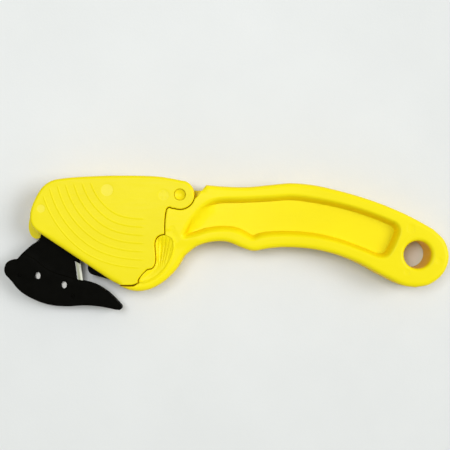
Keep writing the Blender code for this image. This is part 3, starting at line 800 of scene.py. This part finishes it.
def cover_moulding(look):
    """Cover plate with a hinge boss, and a skirt along its top and nose only."""
    seam, rim = cover_seam(), cover_rim()
    outline = loop(seam, rim)
    bore = circle(PIVOT, PIN_RADIUS + PIN_CLEARANCE)[::-1]
    skirt_inside = curve([(-89.0, 7.6), (-84.4, 11.6), (-83.6, 16.0), (-81.6, 20.4), (-79.2, 23.8),
                          (-76.6, 25.6), (-71.6, 26.7), (-57.0, 27.7), (-43.0, 27.9), (-30.6, 27.6)])
    fine = STEP / 2
    under = loop(skirt_inside, straight([(-30.6, 27.6), (-30.6, 40), (-24.0, 40), (-23.35, 27.43)], fine),
                 arc(PIVOT, BOSS_RADIUS, 120, 235),
                 straight([(-23.83, 16.48), (-22.4, 6), (-22.4, -30), (-89.0, -30), (-89.0, 7.6)], fine))
    boss_side = loop(straight([(-29.0, 8.0), (-6.0, 8.0), (-6.0, 40.0), (-29.0, 40.0), (-29.0, 8.0)], fine))

    def top(points):
        rim_edge = COVER_EDGE + (COVER_FOOT_EDGE - COVER_EDGE) * fade(points[:, 1], *COVER_FOOT_FADE)
        drop = edge_drop(points, (rim, rim_edge, False), (seam, SEAM_EDGE, False), (bore, BORE_EDGE, True))
        return COVER_TOP - drop - mark_depth(points, COVER_MARKS + MARK_DOTS) + rib_height(points, rim, seam)

    left = -1 if inside(side_shift(seam, 1.0, False)[len(seam) // 2:][:1], outline)[0] else 1
    spots = [*fillet_rings(outline, COVER_EDGE, [bore]), *fillet_rings(outline, COVER_FOOT_EDGE, [bore]),
             *fillet_rings(seam, SEAM_EDGE, [], False, -left), *fillet_rings(bore, BORE_EDGE, [outline]),
             *mark_rings(COVER_MARKS + MARK_DOTS), *rib_rows(outline)]
    fixed = np.vstack([outline, bore, under, boss_side, *spots])
    spots.append(grid_points(outline, GRID, fixed))
    feet = [(None, flat_at(SKIRT_FOOT)), (boss_side, flat_at(BOSS_FOOT)), (under, flat_at(COVER_CEILING))]
    return terrace("cover_moulding", [outline, bore], [under, boss_side], spots, [(None, top)], feet, look)


def blade_places(places):
    """Points of the blade's plane, from distances along its cutting edge and across towards its spine."""
    foot = np.array(BLADE_FOOT)
    along = (np.array(BLADE_HEAD) - foot) / blade_length()
    across = np.array([-along[1], along[0]])
    return [foot + along * run + across * side for run, side in places]


def blade_length():
    """Length of the cutting edge."""
    return math.dist(BLADE_FOOT, BLADE_HEAD)


def blade_strip(side_low, side_high, slack=0.0):
    """Part of the blade's plan between two distances across it, as a closed outline."""
    corners = []
    for side, order in ((side_low, 1), (side_high, -1)):
        share = max(side, 0) / BLADE_WIDTH
        ends = [(BLADE_SPINE[0] * share - slack, side),
                (blade_length() + (BLADE_SPINE[1] - blade_length()) * share + slack, side)]
        corners += ends[::order]
    return loop(straight(blade_places(corners + corners[:1])))


def ground_blade(look):
    """Flat steel blade, narrower towards its spine, with a double bevel ground along its cutting edge."""
    holes = [circle(place, BLADE_PIN_RADIUS + GAP / 2)[::-1] for place in blade_places(BLADE_PIN_PLACES)]
    rim = blade_strip(0, BLADE_WIDTH)
    bevel = blade_strip(0, BLADE_BEVEL)
    honed = blade_strip(0, BLADE_HONED)
    foot, ahead = blade_places([(0, 0), (0, 1)])
    land = BLADE_THICKNESS / 2

    def half(points):
        side = (points - foot) @ (ahead - foot)
        steep = BLADE_EDGE_HALF + side * (BLADE_SHOULDER - BLADE_EDGE_HALF) / BLADE_HONED
        slope = BLADE_SHOULDER + (side - BLADE_HONED) * (land - BLADE_SHOULDER) / (BLADE_BEVEL - BLADE_HONED)
        return np.clip(np.minimum(steep, slope), BLADE_EDGE_HALF, land)

    spots = [grid_points(rim, GRID, np.vstack([rim, bevel, honed, *holes]))]
    return terrace("ground_blade", [rim, *holes], [bevel, honed], spots,
                   [(None, lambda points: SHELL_JOINT + half(points))],
                   [(None, lambda points: SHELL_JOINT - half(points))], look, sharp=4)


def cartridge_mouldings(look):
    """The two black shells that hold the blade between them."""
    outline = cartridge_outline()
    windows = [oval(place, CUT_WINDOW_HALVES)[::-1] for place in CUT_WINDOWS]
    dowels = [circle(place, DOWEL_RADIUS + GAP)[::-1] for place in DOWELS]
    rivets = [circle(place, RIVET_RADIUS + GAP / 3)[::-1] for place in RIVETS]
    holes = windows + dowels + rivets
    pocket = blade_strip(POCKET_OPEN_SIDE, BLADE_WIDTH + POCKET_SLACK, POCKET_SLACK)
    pocket_half = BLADE_THICKNESS / 2 + GAP
    pin_seats = [circle(place, BLADE_PIN_RADIUS + GAP) for place in blade_places(BLADE_PIN_PLACES)]
    neck = beak_plate_edge()
    edges = [(outline, SHELL_EDGE, True), *[(hole, WINDOW_EDGE, True) for hole in windows],
             *[(hole, RIVET_EDGE, True) for hole in rivets + dowels]]

    def face(points, drop):
        return edge_drop(points, *edges) + drop * smoothstep(distance_inside(points, neck) / NECK_SLOPE + 0.5)

    def inner(side, height):
        return [(None, flat_at(height)), (pocket, flat_at(SHELL_JOINT + side * pocket_half)),
                *[(seat, flat_at(SHELL_JOINT + side * BLADE_PIN_REACH)) for seat in pin_seats]]

    ridge = [side_shift(neck, shift) for shift in NECK_ROWS]
    ridge = [run[distance_inside(run, outline) > NECK_INSET] for run in ridge]
    spots = [*fillet_rings(outline, SHELL_EDGE, holes), *ridge]
    for hole in windows:
        spots += fillet_rings(hole, WINDOW_EDGE, [outline])
    fixed = np.vstack([outline, *holes, pocket, *pin_seats, *spots])
    spots.append(grid_points(outline, GRID, fixed))
    plan = ([outline, *holes], [pocket, *pin_seats], spots)
    front = terrace("cartridge_front_moulding", *plan,
                    [(None, lambda points: CARTRIDGE_TOP - face(points, NECK_DROP))],
                    inner(1, FRONT_SHELL_FOOT), look)
    back = terrace("cartridge_back_moulding", *plan, inner(-1, BACK_SHELL_TOP),
                   [(None, lambda points: CARTRIDGE_FOOT + face(points, 0))], look)
    return front, back


def hinge_mouldings(look):
    """Headed pin with a dished end, and the push-on cap that holds it in the back."""
    neck_top = CAP_SEAT_DEPTH + GAP
    dish = [(PIN_DISH_RADIUS * share, PIN_TOP - PIN_DISH_DEPTH * (1 - share * share))
            for share in np.linspace(1, 0.1, 10)]
    pin = turned("pivot_pin", PIVOT, [(0, PIN_FOOT), (PIN_NECK_RADIUS - PIN_EDGE, PIN_FOOT),
                                      (PIN_NECK_RADIUS, PIN_FOOT + PIN_EDGE), (PIN_NECK_RADIUS, neck_top),
                                      (PIN_RADIUS, neck_top), *rounded(PIN_RADIUS, PIN_TOP, PIN_EDGE),
                                      *dish, (0, PIN_TOP - PIN_DISH_DEPTH)], look)
    bore = PIN_NECK_RADIUS + GAP / 3
    cap = turned("pivot_cap", PIVOT, [(bore, CAP_FOOT + PIN_EDGE), (bore + PIN_EDGE, CAP_FOOT),
                                      *rounded(CAP_RADIUS, CAP_FOOT, CAP_EDGE, -1)[::-1],
                                      (CAP_RADIUS, CAP_TOP), (bore, CAP_TOP)], look)
    return pin, cap


# ---------- materials

class Look:
    """Node material with short calls for the nodes that the finishes share."""

    def __init__(self, name):
        self.material = bpy.data.materials.new(name)
        self.material.use_nodes = True
        self.tree = self.material.node_tree
        self.shader = self.tree.nodes["Principled BSDF"]
        self.place = self.tree.nodes.new("ShaderNodeTexCoord").outputs["Object"]

    def wire(self, source, target):
        self.tree.links.new(source, target)

    def fill(self, node, **values):
        """The node, with its input sockets set or wired."""
        for name, value in values.items():
            socket = node.inputs[name.replace("_", " ")]
            if isinstance(value, bpy.types.NodeSocket):
                self.wire(value, socket)
            else:
                socket.default_value = value
        return node

    def node(self, kind, **values):
        """New node with its input sockets set or wired."""
        return self.fill(self.tree.nodes.new(kind), **values)

    def measured(self, operation, vector, other):
        """Number that an operation makes of a wired vector and a plain one."""
        made = self.node("ShaderNodeVectorMath")
        made.operation = operation
        self.wire(vector, made.inputs[0])
        made.inputs[1].default_value = other
        return made.outputs["Value"]

    def stretched(self, scale, turn=0.0):
        """Object coordinates scaled along each axis, after a turn about Z."""
        return self.node("ShaderNodeMapping", Vector=self.place, Scale=scale,
                         Rotation=(0, 0, turn)).outputs["Vector"]

    def noise(self, scale, detail=3.0, roughness=0.5, vector=None):
        """Smooth noise; scale is in features for each metre."""
        return self.node("ShaderNodeTexNoise", Vector=vector or self.place, Scale=scale, Detail=detail,
                         Roughness=roughness).outputs["Fac"]

    def between(self, factor, stops):
        """Colour ramp over a factor, from its two (place, colour) stops."""
        ramp = self.node("ShaderNodeValToRGB", Fac=factor)
        for stop, (place, colour) in zip(ramp.color_ramp.elements, stops):
            stop.position, stop.color = place, (*colour, 1)
        return ramp.outputs["Color"]

    def span(self, factor, low, high, source=(0.3, 0.7)):
        """Factor mapped from a source range to a low and a high value."""
        return self.node("ShaderNodeMapRange", Value=factor, From_Min=source[0], From_Max=source[1],
                         To_Min=low, To_Max=high).outputs["Result"]

    def within(self, distance, limit, soft):
        """Factor that is 1 where a distance in metres is below a limit in millimetres, with a soft edge."""
        return self.span(distance, 1, 0, ((limit - soft) * MM, (limit + soft) * MM))

    def disc(self, centre, radius):
        """Factor that is 1 in an upright round column about a point in millimetres, and 0 outside it."""
        flat = self.node("ShaderNodeMapping", Vector=self.place, Scale=(1, 1, 0)).outputs["Vector"]
        away = self.measured("DISTANCE", flat, (centre[0] * MM, centre[1] * MM, 0))
        return self.within(away, radius, 0.15)

    def beside(self, foot, across, width):
        """Factor that is 1 within a width in millimetres of a line, and 0 farther across it."""
        side = self.measured("DOT_PRODUCT", self.place, (across[0], across[1], 0))
        start = foot[0] * across[0] + foot[1] * across[1]
        return self.within(side, start + width, 0.08)

    def steepness(self, limits):
        """Factor that is 1 on walls and 0 on level faces; limits are how far up the normal points at each."""
        normal = self.node("ShaderNodeNewGeometry").outputs["Normal"]
        size = self.node("ShaderNodeMath", Value=self.measured("DOT_PRODUCT", normal, (0, 0, 1)))
        size.operation = "ABSOLUTE"
        return self.span(size.outputs["Value"], 1, 0, limits)

    def mixed(self, factor, colour, other):
        """A wired colour turned into a plain one by a factor."""
        made = self.tree.nodes.new("ShaderNodeMix")
        made.data_type = "RGBA"
        self.wire(factor, made.inputs["Factor"])
        self.wire(colour, made.inputs[6])
        made.inputs[7].default_value = (*other, 1)
        return made.outputs[2]

    def bumps(self, *layers):
        """Stacked bumps from (height, distance in metres) pairs, wired to the shader."""
        normal = None
        for height, distance in layers:
            bump = self.node("ShaderNodeBump", Height=height, Distance=distance, Strength=1.0)
            if normal:
                self.wire(normal, bump.inputs["Normal"])
            normal = bump.outputs["Normal"]
        self.wire(normal, self.shader.inputs["Normal"])


def yellow_plastic(name, dark, light, marks=()):
    """Moulded yellow plastic: flow marks, painted shade on walls, fine mould grain, faint scuffs, paler round
    marks.
    """
    look = Look(name)
    flow = look.noise(55, 4, 0.55, look.stretched((0.6, 1.0, 1.0)))
    colour = look.between(flow, [(0.3, dark), (0.7, light)])
    for group, paleness in zip(marks, MARK_PALENESS):
        for x, y, radius in group:
            pale = tuple(1 - (1 - channel) * (1 - paleness) for channel in light)
            colour = look.mixed(look.disc((x, y), radius), colour, pale)
    # painted shade: steep walls are tinted a deeper, more orange yellow, the way shaded yellow faces look
    colour = look.mixed(look.steepness(WALL_SHADE_STEEPNESS), colour, WALL_PAINTED_SHADE)
    scuffs = look.noise(900, 6, 0.7, look.stretched((0.12, 1.0, 1.0), 0.5))
    look.fill(look.shader, Base_Color=colour, Roughness=look.span(scuffs, 0.34, 0.46), IOR=1.49,
              Specular_IOR_Level=0.14)
    look.bumps((look.noise(3200, 4, 0.6), 0.000018), (look.noise(160, 2, 0.5), 0.00010))
    return look.material


def black_plastic(name):
    """Moulded black plastic with a fine spark-eroded grain."""
    look = Look(name)
    tone = look.noise(240, 4, 0.6)
    black = look.between(tone, [(0.3, (0.0012, 0.0012, 0.0006)), (0.7, (0.0022, 0.0022, 0.0014))])
    look.fill(look.shader, Base_Color=black, Roughness=look.span(look.noise(1400, 5, 0.7), 0.5, 0.64),
              Specular_IOR_Level=0.025)
    look.bumps((look.noise(4200, 5, 0.65), 0.00003), (look.noise(240, 2, 0.5), 0.00006))
    return look.material


def steel(name, roughness, lines_turn, tone=((0.58, 0.60, 0.55), (0.78, 0.79, 0.73)), bands=()):
    """Steel with fine grinding lines along one direction.

    Each band is a colour and a width in millimetres from the cutting edge, laid over the bands before it.
    """
    look = Look(name)
    grind = look.noise(2600, 5, 0.65, look.stretched((1.0, 0.035, 1.0), lines_turn))
    colour = look.between(grind, [(0.3, tone[0]), (0.7, tone[1])])
    foot, ahead = blade_places([(0, 0), (0, 1)])
    for band, width in bands:
        colour = look.mixed(look.beside(foot, ahead - foot, width), colour, band)
    look.fill(look.shader, Base_Color=colour, Metallic=1.0, Roughness=look.span(grind, *roughness))
    look.bumps((grind, 0.000012))
    return look.material


def floor_paper(name):
    """Plain pale backdrop paper, faintly mottled."""
    look = Look(name)
    mottle = look.between(look.noise(14, 5, 0.6),
                          [(0.35, (0.682, 0.705, 0.688)), (0.65, (0.707, 0.73, 0.713))])
    look.fill(look.shader, Base_Color=mottle, Roughness=0.8)
    look.bumps((look.noise(900, 4, 0.6), 0.00004))
    return look.material


# ---------- the tool

handle_yellow = yellow_plastic("handle_yellow_plastic", (0.80, 0.685, 0.003), (0.83, 0.715, 0.004))
cover_yellow = yellow_plastic("cover_yellow_plastic", (0.755, 0.65, 0.003), (0.78, 0.68, 0.004),
                              (COVER_MARKS[:2], COVER_MARKS[2:]))
hinge_yellow = yellow_plastic("hinge_yellow_plastic", (0.775, 0.655, 0.003), (0.80, 0.685, 0.004))
cartridge_black = black_plastic("cartridge_black_plastic")
# The blade's bands are painted light: a dark greenish strip of painted shade out to BLADE_SHADE, and a paler
# band along the ground bevel, painted as its highlight
blade_steel = steel("blade_ground_steel", (0.40, 0.54), 1.43, ((0.42, 0.42, 0.38), (0.52, 0.52, 0.48)),
                    (((0.29, 0.30, 0.21), BLADE_SHADE), ((0.48, 0.49, 0.41), BLADE_BEVEL)))
pin_steel = steel("pin_turned_steel", (0.25, 0.4), 0.4)
washer_steel = steel("washer_spring_steel", (0.3, 0.45), 0.9)

front_shell, back_shell = cartridge_mouldings(cartridge_black)
pin, cap = hinge_mouldings(hinge_yellow)
PIECES = [
    (handle_moulding(handle_yellow), "handle", "handle_body", "handle_plastic"),
    (cover_moulding(cover_yellow), "cover", "head_cover", "cover_plastic"),
    (front_shell, "handle", "cartridge_front_shell", "cartridge_plastic"),
    (back_shell, "handle", "cartridge_back_shell", "cartridge_plastic"),
    (ground_blade(blade_steel), "handle", "blade", "blade_steel"),
    (pin, "handle", "hinge_pin", "hinge_plastic"),
    (cap, "handle", "hinge_pin_cap", "hinge_plastic"),
]
for piece, body, node_name, slot_name in PIECES:
    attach(piece, body)
    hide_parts(node_name)

KEPT_NODES = {"hinge_friction_washer": washer_steel}
for node_name in frame["nodes"]:
    if node_name.startswith("cartridge_rivet"):
        KEPT_NODES[node_name] = cartridge_black
    elif node_name.startswith(("cartridge_dowel", "blade_pin")):
        KEPT_NODES[node_name] = pin_steel
for node_name, look in KEPT_NODES.items():
    node_mesh = frame["nodes"][node_name].data
    node_mesh.materials.clear()
    node_mesh.materials.append(look)


# ---------- floor, light and camera

def backdrop():
    """Plain pale floor just under the tool."""
    mesh = bpy.data.meshes.new("floor")
    half, height = 2.5, -0.0001
    mesh.from_pydata([(-half, -half, height), (half, -half, height), (half, half, height),
                      (-half, half, height)], [], [(0, 1, 2, 3)])
    mesh.materials.append(floor_paper("floor_paper"))
    placed("floor", mesh)


def soft_light(name, place, size, power, colour):
    """Square soft light aimed at the middle of the tool."""
    light = bpy.data.lights.new(name, "AREA")
    light.shape = "SQUARE"
    light.size = size
    light.energy = power
    light.color = colour
    made = placed(name, light)
    made.location = place
    made.rotation_euler = (-Vector(place)).to_track_quat("-Z", "Y").to_euler()
    made.visible_camera = False


def studio():
    """Slightly cool key light from the right and a light overhead, with a slightly warm surround."""
    cool = (0.985, 0.985, 1.03)
    soft_light("right_light", place=(2.16, 0.34, 2.08), size=1.5, power=57.0, colour=cool)
    soft_light("top_light", place=(-0.11, 0.12, 0.62), size=0.26, power=1.93, colour=cool)
    world = bpy.data.worlds.new("surround")
    world.use_nodes = True
    tree = world.node_tree
    split = tree.nodes.new("ShaderNodeSeparateXYZ")
    ramp = tree.nodes.new("ShaderNodeValToRGB")
    tree.links.new(tree.nodes.new("ShaderNodeTexCoord").outputs["Generated"], split.inputs[0])
    tree.links.new(split.outputs["Z"], ramp.inputs["Fac"])
    tree.links.new(ramp.outputs["Color"], tree.nodes["Background"].inputs["Color"])
    ramp.color_ramp.elements[0].color = (0.66, 0.65, 0.56, 1)
    ramp.color_ramp.elements[1].color = (0.20, 0.20, 0.195, 1)
    bpy.context.scene.world = world
    bpy.context.scene.view_settings.view_transform = "Standard"


def photo_camera():
    """Camera looking straight down, a little above the middle of the tool's length."""
    camera = bpy.data.cameras.new("camera")
    camera.sensor_width = 36.0
    camera.lens = 56.65
    made = placed("camera", camera)
    made.location = (0.0, 0.00825, 0.330)
    bpy.context.scene.camera = made


backdrop()
studio()
photo_camera()
